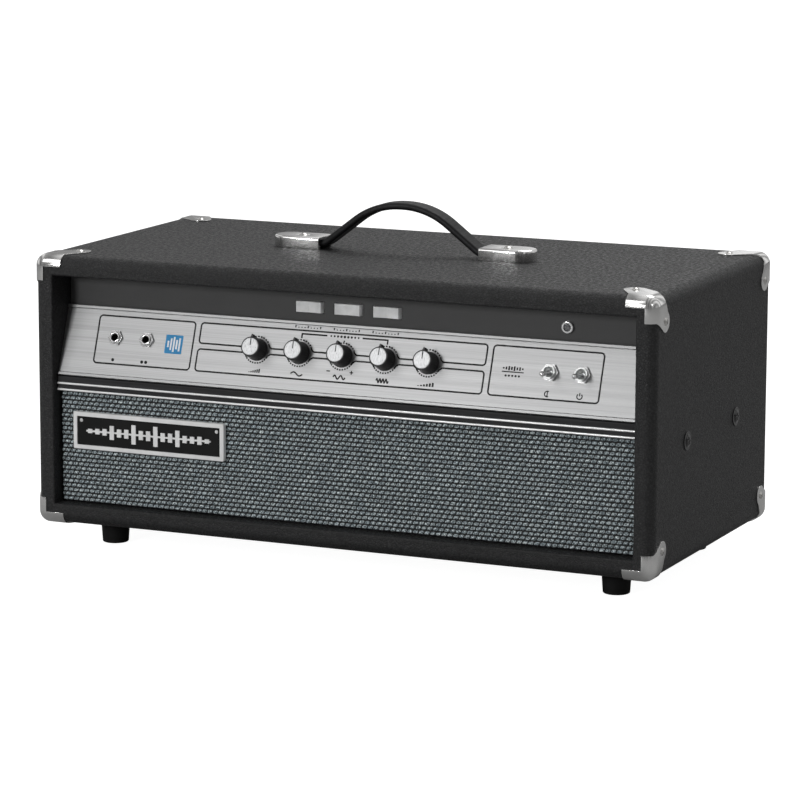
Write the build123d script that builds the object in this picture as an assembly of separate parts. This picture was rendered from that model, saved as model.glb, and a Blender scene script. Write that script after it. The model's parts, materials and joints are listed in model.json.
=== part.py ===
from build123d import *
import math
import os

# Tube guitar amplifier head. Millimetres, +Z up, the front faces -Y.
# The origin is on the ground under the middle of the cabinet.

# Cabinet, over its vinyl
CAB_W = 613.0
CAB_D = 310.0
CAB_H = 252.0
WALL = 18.5
VINYL = 0.8
VINYL_WRAP_FRONT = 42.0
VINYL_WRAP_REAR = 16.0
EDGE_R = 10.0
INNER_EDGE_R = 2.0
FOOT_H = 25.0
FOOT_R_TOP = 14.0
FOOT_R_BOTTOM = 12.25
FOOT_X = 253.0
FOOT_Y = 100.5

# Control panel: a plate that leans back, and a vertical strip above it
LEAN = 20.0
PANEL_Y = -146.2
PANEL_Z = 164.3
PANEL_LENGTH = 67.8
PANEL_T = 2.0
LIP_H = 3.5
LIP_PROUD = 1.2
PANEL_HALF_W = 287.4
SHEET = 1.5
KNOB_V = 38.1
JACK_V = 38.8
TOGGLE_V = 38.3
KNOB_X = {"gain": -87.0, "bass": -44.4, "midrange": -1.8, "treble": 40.8, "master": 83.4}
JACK_X = [-232.9, -200.5]
TOGGLE_X = {"standby": 200.3, "power": 230.8}
ROCKER_X = {"left": -39.5, "middle": -1.0, "right": 37.5}
ROCKER_Z = 241.3
ROCKER_H = 10.0
PILOT_X = 212.0
PILOT_Z = 240.0

# Chassis, upside down in the upper half
CHASSIS_HALF_W = 286.5
CHASSIS_TOP = 256.5
CHASSIS_FLOOR = 145.0
CHASSIS_REAR = 130.5
CHASSIS_FRONT = -128.0
FLANGE = 12.0
BOLT_Y = [-70.5, 59.8]
BOLT_Z = 137.0

# Front rail, trim beads and grille
RAIL_Y0 = -147.0
RAIL_Y1 = -130.5
RAIL_Z0 = 149.4
RAIL_Z1 = 163.5
BEAD_Z = [156.8, 150.9]
BEAD_H = 2.0
GRILLE_Y = -142.0
CLOTH_T = 1.5
FRAME_T = 12.0
GRILLE_Z0 = 45.0
GRILLE_Z1 = 148.8
GRILLE_HALF_W = 286.0
WINDOW_X0 = -108.0
WINDOW_X1 = 262.0
WINDOW_Z0 = 62.0
WINDOW_Z1 = 134.0

# Nameplate
PLATE_X0 = -271.6
PLATE_X1 = -115.0
PLATE_Z0 = 96.0
PLATE_Z1 = 131.0
PLATE_Y0 = -147.0
PLATE_BORDER = 4.0

# Corner guards
GUARD_T = 1.2
TOP_SCREW = (31.0, 32.0)
TOP_LEAF_R = 10.5
SIDE_SCREW = (24.0, 22.0)
SIDE_LEAF_R = 9.5

# Carrying handle
CAP_IN = 81.0
CAP_OUT = 132.0
CAP_W = 32.0
CAP_H = 11.5
CAP_ROOM_H = 9.0
CAP_ROOM_HALF_W = 11.0
STRAP_W = 21.0
STRAP_T = 6.5
STRAP_END = 110.0
STRAP_LOW = 4.3
STRAP_RISE = 40.5
STRAP_FOOT_X = 80.0
STRAP_SHOULDER_X = 26.7
HANDLE_BOLT_X = 104.0

# Rear
GUARD_Y = 137.0
REAR_JACK_X = [-70.0, -40.0, 60.0, 90.0]
REAR_Z = 200.0
INLET_X = 225.0
DI_X = -140.0

# Tubes, transformers, board and capacitors
POWER_TUBE_X = [-75.0, -17.0, 41.0, 99.0]
POWER_TUBE_Y = -55.0
SMALL_TUBE_X = [-120.0, -75.0, -30.0, 15.0, 60.0]
SMALL_TUBE_Y = 25.0
BIG_SOCKET_R = 13.8
SMALL_SOCKET_R = 9.0
TRANSFORMER_Y = 10.0
BOARD_Z = 160.0
BOARD_ENDS = (-250.0, 60.0)
BOARD_SIDES = (45.0, 115.0)
CAPACITOR_X = [120.0, 162.0]
CAPACITOR_Y = [-20.0, 24.0]

# Round fits
JACK_BORE_R = 3.3
SHAFT_R = 3.0
SHAFT_GAP = 0.05
POT_HOLE_R = 3.7
JACK_HOLE_R = 4.85
TOGGLE_HOLE_R = 6.05
SCREW_HOLE_R = 1.65
BOLT_HOLE_R = 2.6

# Worked out from the above
X1 = CAB_W / 2
Y1 = CAB_D / 2
Z0 = FOOT_H
Z1 = FOOT_H + CAB_H
Z_MID = (Z0 + Z1) / 2
IN_X = X1 - WALL
IN_Z0 = Z0 + WALL
IN_Z1 = Z1 - WALL
BOARD_X = IN_X + VINYL
BOARD_Z0 = IN_Z0 - VINYL
BOARD_Z1 = IN_Z1 + VINYL
TILT_SIN = math.sin(math.radians(LEAN))
TILT_COS = math.cos(math.radians(LEAN))
NORMAL = (0, -TILT_COS, TILT_SIN)
SWITCH_Y = PANEL_Y + PANEL_LENGTH * TILT_SIN + PANEL_T * TILT_COS
SWITCH_Z = PANEL_Z + PANEL_LENGTH * TILT_COS - PANEL_T * TILT_SIN
LOW = Align.MIN
MID = Align.CENTER
SIGNS = [(-1, -1), (1, -1), (-1, 1), (1, 1)]


def block(x0, x1, y0, y1, z0, z1):
    """A box between two opposite corners."""
    centre = Pos((x0 + x1) / 2, (y0 + y1) / 2, (z0 + z1) / 2)
    return centre * Box(abs(x1 - x0), abs(y1 - y0), abs(z1 - z0))


def rod(start, direction, radius, length):
    """A cylinder from a point along a direction."""
    return Plane(origin=start, z_dir=direction) * Cylinder(radius, length, align=(MID, MID, LOW))


def cone(start, direction, radius_0, radius_1, length):
    """A cone from a point along a direction."""
    return Plane(origin=start, z_dir=direction) * Cone(radius_0, radius_1, length, align=(MID, MID, LOW))


def hexagon(start, direction, across_flats, length):
    """A hexagonal bar from a point along a direction."""
    outline = RegularPolygon(across_flats / math.sqrt(3), 6)
    return Plane(origin=start, z_dir=direction) * extrude(outline, length)


def prism(points, x0, x1):
    """An outline of (y, z) points, run along X."""
    outline = make_face(Polyline(*points, close=True))
    return Plane.YZ.offset(x0) * extrude(outline, x1 - x0)


def sheet_panels(points, thickness, x0, x1):
    """Sheet metal whose outer face follows (y, z) points, as one flat panel for each stretch."""
    inner = []
    for i, point in enumerate(points):
        before = points[max(i - 1, 0)]
        after = points[min(i + 1, len(points) - 1)]
        run_in = Vector(point[0] - before[0], point[1] - before[1])
        run_out = Vector(after[0] - point[0], after[1] - point[1])
        run_in = run_in.normalized() if run_in.length else run_out.normalized()
        run_out = run_out.normalized() if run_out.length else run_in
        side_in = Vector(-run_in.Y, run_in.X)
        side_out = Vector(-run_out.Y, run_out.X)
        shift = (side_in + side_out) * (thickness / (1 + side_in.dot(side_out)))
        inner.append((point[0] + shift.X, point[1] + shift.Y))
    panels = []
    for i in range(len(points) - 1):
        panels.append(prism([points[i], points[i + 1], inner[i + 1], inner[i]], x0, x1))
    return panels


def on_panel(x, v, w=0.0):
    """A place on the leaning panel: v up its slope from its lower edge, w out of its face."""
    y = PANEL_Y + v * TILT_SIN - w * TILT_COS
    z = PANEL_Z + v * TILT_COS + w * TILT_SIN
    return Vector(x, y, z)


def panel_rod(x, v, w0, w1, radius):
    """A cylinder square to the leaning panel, from w0 to w1 out of its face."""
    return rod(on_panel(x, v, w0), NORMAL, radius, w1 - w0)


def panel_plane(x, v, w=0.0):
    """A plane on the leaning panel, its X along the panel and its Y up the slope."""
    return Plane(origin=on_panel(x, v, w), x_dir=(1, 0, 0), z_dir=NORMAL)


def save(name, *shapes):
    """Write one sub-part, keeping its pieces as separate solids."""
    solids = [solid for shape in shapes for solid in shape.solids()]
    export_step(Compound(solids), f"parts/{name}.step")


def four_ways(shape):
    """Copies of a shape mirrored left to right and front to back."""
    left = mirror(shape, about=Plane.YZ)
    return [shape, left, mirror(shape, about=Plane.XZ), mirror(left, about=Plane.XZ)]


def eight_ways(shape):
    """Copies of a shape at all eight corners of the cabinet."""
    lower = mirror(shape, about=Plane.XY.offset(Z_MID))
    return four_ways(shape) + four_ways(lower)


def screw_head(at, direction, radius, height):
    """A domed screw head with a cross recess."""
    plane = Plane(origin=at, z_dir=direction)
    ball_r = (radius**2 + height**2) / (2 * height)
    dome = Pos(0, 0, height - ball_r) * Sphere(ball_r)
    head = dome & Cylinder(radius, height, align=(MID, MID, LOW))
    slot = Pos(0, 0, height * 0.45) * Box(radius * 1.1, radius * 0.24, height, align=(MID, MID, LOW))
    head = head - slot - Rot(0, 0, 90) * slot
    return plane * head


def screw(at, direction, head_r, head_h, shank_r, length):
    """A domed screw: its head stands on a face and its shank runs the other way."""
    back = Vector(*direction) * -1
    return screw_head(at, direction, head_r, head_h) + rod(at, back, shank_r, length)


# ------------------------------------------------------------------ fasteners' places

def corner_screw_places():
    """Each corner's two screws at the right front top: place on the guard and direction out."""
    top = Vector(X1 - TOP_SCREW[0], -Y1 + TOP_SCREW[1], Z1 + GUARD_T)
    side = Vector(X1 + GUARD_T, -Y1 + SIDE_SCREW[1], Z1 - SIDE_SCREW[0])
    return [(top, (0, 0, 1)), (side, (1, 0, 0))]


def shank_holes():
    """Every hole that a fastener needs through the boards and their vinyl."""
    holes = []
    for at, out in corner_screw_places():
        back = Vector(*out) * -1
        holes += eight_ways(rod(at, back, SCREW_HOLE_R, 15.0))
    for sx, sy in SIGNS:
        holes.append(rod((sx * FOOT_X, sy * FOOT_Y, FOOT_H - 1), (0, 0, 1), 2.05, 16.0))
    for side in (-1, 1):
        holes.append(rod((side * HANDLE_BOLT_X, 0, Z1 + 1), (0, 0, -1), 2.55, 16.0))
        for y in BOLT_Y:
            holes.append(rod((side * (X1 + 1), y, BOLT_Z), (-side, 0, 0), BOLT_HOLE_R, WALL + 2))
    return holes


# ------------------------------------------------------------------ cabinet

def rounded_case(inset):
    """The cabinet's outer block, moved in by an inset, with all its edges rounded."""
    case = block(-X1 + inset, X1 - inset, -Y1 + inset, Y1 - inset, Z0 + inset, Z1 - inset)
    return fillet(case.edges(), EDGE_R - inset)


def cabinet(holes):
    """Four plywood boards and the vinyl glued over them."""
    core = rounded_case(VINYL) - block(-BOARD_X, BOARD_X, -Y1, Y1, BOARD_Z0, BOARD_Z1) - holes
    top = core & block(-X1, X1, -Y1, Y1, BOARD_Z1, Z1)
    bottom = core & block(-X1, X1, -Y1, Y1, Z0, BOARD_Z0)
    right = core & block(BOARD_X, X1, -Y1, Y1, BOARD_Z0, BOARD_Z1)
    left = core & block(-X1, -BOARD_X, -Y1, Y1, BOARD_Z0, BOARD_Z1)
    save("cabinet_top_board", top)
    save("cabinet_bottom_board", bottom)
    save("cabinet_right_board", right)
    save("cabinet_left_board", left)

    skin = rounded_case(0) - block(-IN_X, IN_X, -Y1, Y1, IN_Z0, IN_Z1)
    rim = [e for e in skin.edges() if abs(abs(e.center().Y) - Y1) < 0.01]
    rim = [e for e in rim if abs(e.center().X) < IN_X + 0.01 and IN_Z0 - 0.01 < e.center().Z < IN_Z1 + 0.01]
    skin = fillet(rim, INNER_EDGE_R)
    bare_y = (-Y1 + VINYL_WRAP_FRONT, Y1 - VINYL_WRAP_REAR)
    bare = block(-BOARD_X, BOARD_X, *bare_y, BOARD_Z0, BOARD_Z1)
    skin = skin - rounded_case(VINYL) + (skin & block(-BOARD_X, BOARD_X, -Y1, Y1, BOARD_Z0, BOARD_Z1))
    save("vinyl_covering", skin - bare - holes)


def corner_guards():
    """Pressed metal corners: two arms on the front face, and a round-ended leaf on the top and side."""
    reach = 60.0

    def corner_block(grow):
        solid = block(X1 - reach, X1 + grow, -Y1 - grow, -Y1 + reach, Z1 - reach, Z1 + grow)
        edges = [e for e in solid.edges() if (e.center() - Vector(X1, -Y1, Z1)).length < reach * 0.6]
        return fillet(edges, EDGE_R + grow)

    shell = corner_block(GUARD_T) - corner_block(0)
    past = -4.0
    arms = Polyline((past, past), (28, past), (28, 12), (14.5, 12), (14.5, 23.5), (past, 23.5), close=True)
    arms = fillet(make_face(arms).vertices().sort_by_distance((30, 20))[:4], 2.0)
    top_leaf = Polyline(
        (past, past), (28, past), (28, 7), (40, 26.5), (25.5, 41), (4, 23), (past, 22), close=True
    )
    top_leaf = make_face(top_leaf) + Pos(*TOP_SCREW) * Circle(TOP_LEAF_R)
    side_leaf = Polyline(
        (past, past), (23.5, past), (23.5, 4), (30.5, 15), (24, 31.5), (4, 21), (past, 19), close=True
    )
    side_leaf = make_face(side_leaf) + Pos(*SIDE_SCREW) * Circle(SIDE_LEAF_R)

    front_plane = Plane(origin=(X1, -Y1 + EDGE_R, Z1), x_dir=(-1, 0, 0), z_dir=(0, -1, 0))
    top_plane = Plane(origin=(X1, -Y1, Z1 - EDGE_R), x_dir=(-1, 0, 0), z_dir=(0, 0, -1))
    side_plane = Plane(origin=(X1 - EDGE_R, -Y1, Z1), x_dir=(0, 0, -1), z_dir=(1, 0, 0))
    thick = EDGE_R + 5
    front = front_plane * extrude(mirror(arms, about=Plane.XZ), thick)
    top = top_plane * extrude(top_leaf, -thick)
    side = side_plane * extrude(side_leaf, thick)
    guard = shell & (front + top + side)
    screws = []
    for at, out in corner_screw_places():
        back = Vector(*out) * -1
        guard -= rod(at, back, SCREW_HOLE_R, 5.0)
        screws += eight_ways(screw(at, out, 3.6, 1.7, 1.6, 14.0))
    save("corner_guards", *eight_ways(guard))
    save("corner_screws", *screws)


def feet():
    """Tapered rubber feet, each with a screw and washer deep in its hollow."""
    feet_out = []
    screws = []
    for sx, sy in SIGNS:
        x = sx * FOOT_X
        y = sy * FOOT_Y
        foot = cone((x, y, 0), (0, 0, 1), FOOT_R_BOTTOM, FOOT_R_TOP, FOOT_H)
        foot = fillet(foot.edges().group_by(Axis.Z)[0], 1.5)
        foot -= rod((x, y, 0), (0, 0, 1), 6.5, 18.0)
        foot -= rod((x, y, 0), (0, 0, 1), 2.05, FOOT_H)
        feet_out.append(foot)
        washer = rod((x, y, 16.8), (0, 0, 1), 6.2, 1.2) - rod((x, y, 16), (0, 0, 1), 2.05, 3)
        screws.append(washer)
        screws.append(screw((x, y, 16.8), (0, 0, -1), 4.2, 2.4, 2.0, 22.0))
    save("rubber_feet", *feet_out)
    save("foot_screws", *screws)


def handle():
    """A strap with a steel band in it, held by two bright end caps."""
    low = Z1 + STRAP_LOW
    high = low + STRAP_RISE
    half = [(STRAP_END, low), (STRAP_FOOT_X, low), (STRAP_SHOULDER_X, high)]
    corners = half + [(-x, z) for x, z in reversed(half)]
    path = Plane.XZ * FilletPolyline(*corners, radius=[20, 75, 75, 20])
    section_plane = Plane(origin=path @ 0, x_dir=(0, 1, 0), z_dir=path % 0)
    strap = sweep(section_plane * RectangleRounded(STRAP_W, STRAP_T, 2.9), path=path)
    band = sweep(section_plane * Rectangle(14.0, 1.2), path=path)
    strap -= band
    caps = []
    bolts = []
    for side in (-1, 1):
        bolt_hole = rod((side * HANDLE_BOLT_X, 0, Z1 - 5), (0, 0, 1), 3.2, 20.0)
        strap -= bolt_hole
        band -= bolt_hole
        straight = CAP_OUT - CAP_IN - CAP_W / 2
        plan = Pos(CAP_IN + straight / 2, 0) * Rectangle(straight, CAP_W)
        plan += Pos(CAP_IN + straight, 0) * Circle(CAP_W / 2)
        plan = plan & (Pos(CAP_IN + 50, 0) * Rectangle(100, 100))
        cap = Pos(0, 0, Z1) * extrude(plan, CAP_H)
        top_edges = cap.edges().group_by(Axis.Z)[-1]
        cap = fillet(top_edges.sort_by(Axis.X)[1:], 2.6)
        cap -= block(CAP_IN - 1, 113.0, -CAP_ROOM_HALF_W, CAP_ROOM_HALF_W, Z1, Z1 + CAP_ROOM_H)
        cap -= rod((HANDLE_BOLT_X, 0, Z1), (0, 0, 1), 2.55, 20.0)
        cap -= cone((HANDLE_BOLT_X, 0, Z1 + CAP_H - 0.7), (0, 0, 1), 5.4, 6.4, 0.8)
        cap = cap if side > 0 else mirror(cap, about=Plane.YZ)
        caps.append(cap)
        seat = (side * HANDLE_BOLT_X, 0, Z1 + CAP_H - 0.7)
        bolts.append(screw(seat, (0, 0, 1), 5.0, 2.6, 2.5, 22.0))
    save("handle_strap", strap, band)
    save("handle_end_caps", *caps)
    save("handle_bolts", *bolts)


# ------------------------------------------------------------------ front

def front_rail():
    """The black rail under the control panel, and the two bright beads let into it."""
    rail = block(-PANEL_HALF_W, PANEL_HALF_W, RAIL_Y0, RAIL_Y1, RAIL_Z0, RAIL_Z1)
    top_front = [e for e in rail.edges().filter_by(Axis.X) if abs(e.center().Y - RAIL_Y0) < 0.01]
    rail = fillet([e for e in top_front if e.center().Z > RAIL_Z1 - 0.1], 1.0)
    beads = []
    for z in BEAD_Z:
        heights = (z - BEAD_H / 2, z + BEAD_H / 2)
        rail -= block(-PANEL_HALF_W, PANEL_HALF_W, RAIL_Y0 - 1, RAIL_Y0 + 1.2, *heights)
        bead = block(-PANEL_HALF_W, PANEL_HALF_W, RAIL_Y0, RAIL_Y0 + 1.2, *heights)
        bead += rod((-PANEL_HALF_W, RAIL_Y0, z), (1, 0, 0), BEAD_H / 2, 2 * PANEL_HALF_W)
        beads.append(bead)
    save("front_rail", rail)
    save("trim_beads", *beads)


def grille():
    """A black timber frame with the woven cloth stretched over its face."""
    y0 = GRILLE_Y + CLOTH_T
    y1 = y0 + FRAME_T
    w = GRILLE_HALF_W
    frame = [
        block(-w, WINDOW_X0, y0, y1, GRILLE_Z0, GRILLE_Z1),
        block(WINDOW_X0, w, y0, y1, WINDOW_Z1, GRILLE_Z1),
        block(WINDOW_X0, w, y0, y1, GRILLE_Z0, WINDOW_Z0),
        block(WINDOW_X1, w, y0, y1, WINDOW_Z0, WINDOW_Z1),
    ]
    pegs = [rod((x, GRILLE_Y - 1, z), (0, 1, 0), 1.05, 9.0) for x, z in nameplate_rivets()]
    frame[0] = frame[0] - pegs
    cloth = block(-w, w, GRILLE_Y, y0, GRILLE_Z0 + 0.3, GRILLE_Z1 + 0.3) - pegs
    save("grille_frame", *frame)
    save("grille_cloth", cloth)


def nameplate_rivets():
    """The nameplate's two pins, at its upper corners."""
    inset = PLATE_BORDER + 4.0
    return [(PLATE_X0 + inset, PLATE_Z1 - inset), (PLATE_X1 - inset, PLATE_Z1 - inset)]


def nameplate():
    """A bright frame round a black plate that carries a plain pattern of level bars."""
    y_back = GRILLE_Y
    x_mid = (PLATE_X0 + PLATE_X1) / 2
    z_mid = (PLATE_Z0 + PLATE_Z1) / 2
    inner_x = (PLATE_X0 + PLATE_BORDER, PLATE_X1 - PLATE_BORDER)
    inner_z = (PLATE_Z0 + PLATE_BORDER, PLATE_Z1 - PLATE_BORDER)
    frame = block(PLATE_X0, PLATE_X1, PLATE_Y0, y_back, PLATE_Z0, PLATE_Z1)
    frame = fillet(frame.edges().filter_by(Axis.Y), 1.5)
    frame = chamfer(frame.faces().sort_by(Axis.Y)[0].edges(), 0.6)
    frame -= block(*inner_x, PLATE_Y0 - 1, y_back + 1, *inner_z)
    face_y = PLATE_Y0 + 1.6
    plate = block(*inner_x, face_y, y_back, *inner_z)
    rivets = []
    for x, z in nameplate_rivets():
        plate -= rod((x, face_y - 1, z), (0, 1, 0), 1.05, 9.0)
        rivets.append(screw((x, face_y, z), (0, -1, 0), 1.7, 0.9, 1.0, 9.0))

    bars = 17
    pitch = 7.6
    bar_w = 4.4
    emblem = block(x_mid - pitch * 8.5, x_mid + pitch * 8.5, face_y - 1.0, face_y, z_mid - 0.8, z_mid + 0.8)
    for i in range(bars):
        t = (i - (bars - 1) / 2) / ((bars - 1) / 2)
        reach = 2.0 + 7.5 * (1 - t * t) * (0.55 + 0.45 * math.cos(i * 2.1))
        x = x_mid + (i - (bars - 1) / 2) * pitch
        emblem += block(x - bar_w / 2, x + bar_w / 2, face_y - 1.0, face_y, z_mid - reach, z_mid + reach)
    save("nameplate_frame", frame, *rivets)
    save("nameplate_plate", plate)
    save("nameplate_emblem", emblem)


def faceplate():
    """The leaning aluminium control plate, with a proud lip along its upper and lower edges."""
    top = PANEL_LENGTH
    outline = [
        (0, 0), (0, PANEL_T + LIP_PROUD), (LIP_H, PANEL_T + LIP_PROUD), (LIP_H, PANEL_T),
        (top - LIP_H - 1.4, PANEL_T), (top - LIP_H - 1.4, PANEL_T - 0.5),
        (top - LIP_H - 0.6, PANEL_T - 0.5), (top - LIP_H - 0.6, PANEL_T),
        (top - LIP_H, PANEL_T), (top - LIP_H, PANEL_T + LIP_PROUD),
        (top, PANEL_T + LIP_PROUD), (top, 0),
    ]
    section = make_face(Polyline(*outline, close=True))
    proud = [v for v in section.vertices() if v.Y > PANEL_T + LIP_PROUD - 0.01]
    section = fillet(proud, 0.9)
    low_back = Plane(
        origin=on_panel(-PANEL_HALF_W, 0, -PANEL_T), x_dir=(0, TILT_SIN, TILT_COS), z_dir=(1, 0, 0)
    )
    plate = low_back * extrude(section, 2 * PANEL_HALF_W)
    for x in KNOB_X.values():
        plate -= panel_rod(x, KNOB_V, -5, 5, POT_HOLE_R)
    for x in JACK_X:
        plate -= panel_rod(x, JACK_V, -5, 5, JACK_HOLE_R)
    for x in TOGGLE_X.values():
        plate -= panel_rod(x, TOGGLE_V, -5, 5, TOGGLE_HOLE_R)
    save("faceplate", plate)


# ------------------------------------------------------------------ chassis

def chassis():
    """A welded tray of steel panels with a leaning front, open at the top and closed at both ends."""
    sill_z = 165.0
    slope_drop = (SWITCH_Z - sill_z) * math.tan(math.radians(LEAN))
    outline = [
        (SWITCH_Y + FLANGE, CHASSIS_TOP), (SWITCH_Y, CHASSIS_TOP), (SWITCH_Y, SWITCH_Z),
        (SWITCH_Y - slope_drop, sill_z), (CHASSIS_FRONT, sill_z), (CHASSIS_FRONT, CHASSIS_FLOOR),
        (CHASSIS_REAR, CHASSIS_FLOOR), (CHASSIS_REAR, CHASSIS_TOP), (CHASSIS_REAR - FLANGE, CHASSIS_TOP),
    ]
    half = CHASSIS_HALF_W
    panels = sheet_panels(outline, SHEET, -half + SHEET, half - SHEET)
    panels.append(prism(outline, -half, -half + SHEET))
    panels.append(prism(outline, half - SHEET, half))

    cuts = [panel_rod(x, KNOB_V, -8, 0, POT_HOLE_R) for x in KNOB_X.values()]
    cuts += [panel_rod(x, JACK_V, -8, 0, JACK_HOLE_R) for x in JACK_X]
    cuts += [panel_rod(x, TOGGLE_V, -8, 0, TOGGLE_HOLE_R) for x in TOGGLE_X.values()]
    window_h = ROCKER_H / 2 + 0.35
    for x in ROCKER_X.values():
        window = block(x - 14.5, x + 14.5, SWITCH_Y - 2, SWITCH_Y + 3, -window_h, window_h)
        cuts.append(Pos(0, 0, ROCKER_Z) * window)
    cuts.append(rod((PILOT_X, SWITCH_Y - 2, PILOT_Z), (0, 1, 0), 4.3, 6.0))
    rear_y = CHASSIS_REAR - 4
    cuts += [rod((x, rear_y, REAR_Z), (0, 1, 0), JACK_HOLE_R, 8.0) for x in REAR_JACK_X]
    cuts.append(Pos(INLET_X, 0, REAR_Z) * block(-13.7, 13.7, rear_y, CHASSIS_REAR + 2, -10.2, 10.2))
    cuts.append(rod((DI_X, rear_y, REAR_Z), (0, 1, 0), 11.9, 8.0))
    for x, y, radius in socket_places():
        cuts.append(rod((x, y, CHASSIS_FLOOR - 2), (0, 0, 1), radius + 0.1, 6.0))
    save("chassis", *[panel - cuts for panel in panels])

    rails = []
    bolts = []
    for side in (-1, 1):
        rail = block(side * 262.0, side * BOARD_X, -112.0, 112.0, CHASSIS_FLOOR - 2.0, CHASSIS_FLOOR)
        rail += block(side * (BOARD_X - 2.0), side * BOARD_X, -112.0, 112.0, 124.0, CHASSIS_FLOOR)
        for y in BOLT_Y:
            rail -= rod((side * 280.0, y, BOLT_Z), (side, 0, 0), BOLT_HOLE_R, 12.0)
            bolt = screw((side * (X1 + 0.8), y, BOLT_Z), (side, 0, 0), 6.4, 1.6, 2.5, 26.8)
            bolts.append(bolt + rod((side * X1, y, BOLT_Z), (side, 0, 0), 8.6, 0.8))
            nut = hexagon((side * (BOARD_X - 2.0), y, BOLT_Z), (-side, 0, 0), 8.0, 4.0)
            bolts.append(nut - rod((side * BOARD_X, y, BOLT_Z), (-side, 0, 0), 2.5, 12.0))
        rails.append(rail)
    save("chassis_rails", *rails)
    save("chassis_bolts", *bolts)


# ------------------------------------------------------------------ controls

def knob(name, x):
    """A fluted black knob with a light cap, and the shaft that turns with it."""
    plane = panel_plane(x, KNOB_V)
    up = (MID, MID, LOW)
    body = Pos(0, 0, 0.6) * Cone(10.4, 9.1, 15.2, align=up)
    body = chamfer(body.edges().sort_by(Axis.Z)[-1], 0.4)
    flutes = 24
    for i in range(flutes):
        flute = Pos(10.55, 0, 3.0) * Cylinder(0.75, 20.0, align=up)
        body -= Rot(0, 0, 360 * (i + 0.5) / flutes) * flute
    pointer = make_face(Polyline((-1.5, 8.0), (1.5, 8.0), (0.35, 11.7), (-0.35, 11.7), close=True))
    body += Pos(0, 0, 9.0) * extrude(pointer, 6.4)
    body -= Cylinder(7.8, 6.6, align=up)
    body -= Pos(0, 0, 15.1) * Cylinder(8.05, 2.0, align=up)
    body -= Cylinder(SHAFT_R, 12.0, align=up)
    cap = Pos(0, 0, 15.1) * Cylinder(8.0, 1.1, align=up)
    cap = chamfer(cap.edges().sort_by(Axis.Z)[-1], 0.3)
    cap -= Pos(0, 4.6, 16.0) * Box(0.9, 7.0, 1.0, align=up)
    shaft = Pos(0, 0, -9.5) * Cylinder(SHAFT_R, 21.5, align=up)
    save(f"knob_{name}", plane * body, plane * shaft)
    save(f"knob_cap_{name}", plane * cap)


def potentiometers():
    """The five potentiometer cans, each with its threaded bush. Returns their nuts."""
    cans = []
    nuts = []
    inside = PANEL_T + SHEET
    for x in KNOB_X.values():
        can = panel_rod(x, KNOB_V, -inside - 11, -inside, 12.0)
        can += panel_rod(x, KNOB_V, -inside, 5.0, 3.6)
        can += panel_plane(x, KNOB_V - 16, -inside - 4) * Box(16, 10, 1.6)
        can -= panel_rod(x, KNOB_V, -10.0, 6.0, SHAFT_R + SHAFT_GAP)
        cans.append(can)
        nut = hexagon(on_panel(x, KNOB_V, 0), NORMAL, 11.0, 2.4)
        nuts.append(nut - panel_rod(x, KNOB_V, -1, 4, 3.6))
    save("potentiometers", *cans)
    return nuts


def jack(plane, front, bush):
    """A jack socket: its body behind a panel, its bush through it and its bore open to the front."""
    up = (MID, MID, LOW)
    depth = 26.0
    body = Pos(0, 0, -front - depth) * Box(19.0, 19.0, depth, align=up)
    body = fillet(body.edges().filter_by(Axis.Z), 1.5)
    body += Pos(0, 0, -front) * Cylinder(4.75, front + bush, align=up)
    body -= Pos(0, 0, -front - depth + 3.0) * Cylinder(JACK_BORE_R, 60.0, align=up)
    nut = extrude(RegularPolygon(12.7 / math.sqrt(3), 6), 2.3)
    nut = nut & Cone(9.2, 6.2, 3.4, align=up)
    nut -= Cylinder(4.75, 8.0)
    return plane * body, plane * nut


def jacks():
    """Two input jacks on the front, four line and speaker jacks on the rear. Returns their nuts."""
    inside = PANEL_T + SHEET
    front = [jack(panel_plane(x, JACK_V), inside, 3.0) for x in JACK_X]
    rear = []
    for x in REAR_JACK_X:
        plane = Plane(origin=(x, CHASSIS_REAR, REAR_Z), x_dir=(1, 0, 0), z_dir=(0, 1, 0))
        rear.append(jack(plane, SHEET, 3.0))
    save("input_jacks", *[pair[0] for pair in front])
    save("rear_jacks", *[pair[0] for pair in rear])
    return [pair[1] for pair in front + rear]


def toggles():
    """Two bat-handled toggle switches: bodies with bushes, and levers on ball pivots. Returns nuts."""
    up = (MID, MID, LOW)
    inside = PANEL_T + SHEET
    rest_tilt = 13.0
    tip_at = 21.0
    tip_r = 2.5
    bush_r = 5.95
    bodies = []
    nuts = []
    for name, x in TOGGLE_X.items():
        plane = panel_plane(x, TOGGLE_V)
        body = Pos(0, 0, -inside - 18) * Box(17, 28, 18, align=up)
        body += Pos(0, 0, -inside) * Cylinder(bush_r, inside + 4.8, align=up)
        body -= Pos(0, 0, -inside - 8) * Cylinder(3.0, 30, align=up)
        body -= Pos(0, 0, 0.0) * Cone(3.0, 4.8, 4.81, align=up)
        bodies.append(plane * body)
        nut = extrude(RegularPolygon(14.3 / math.sqrt(3), 6), 2.4)
        nut = nut & Cone(10.2, 7.0, 3.6, align=up)
        nuts.append(plane * (nut - Cylinder(bush_r, 8.0)))
        outline = Polyline((0, 0), (1.6, 0), (1.5, 6.0), (tip_r, tip_at), (0, tip_at), close=True)
        bat = Plane.XZ * make_face(outline)
        bat = revolve(bat, Axis.Z)
        bat += Pos(0, 0, tip_at) * Sphere(tip_r)
        bat += Sphere(2.9)
        lever = plane * Pos(0, 0, -2.0) * Rot(rest_tilt, 0, 0) * bat
        save(f"toggle_lever_{name}", lever)
    save("toggle_bodies", *bodies)
    return nuts


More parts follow.
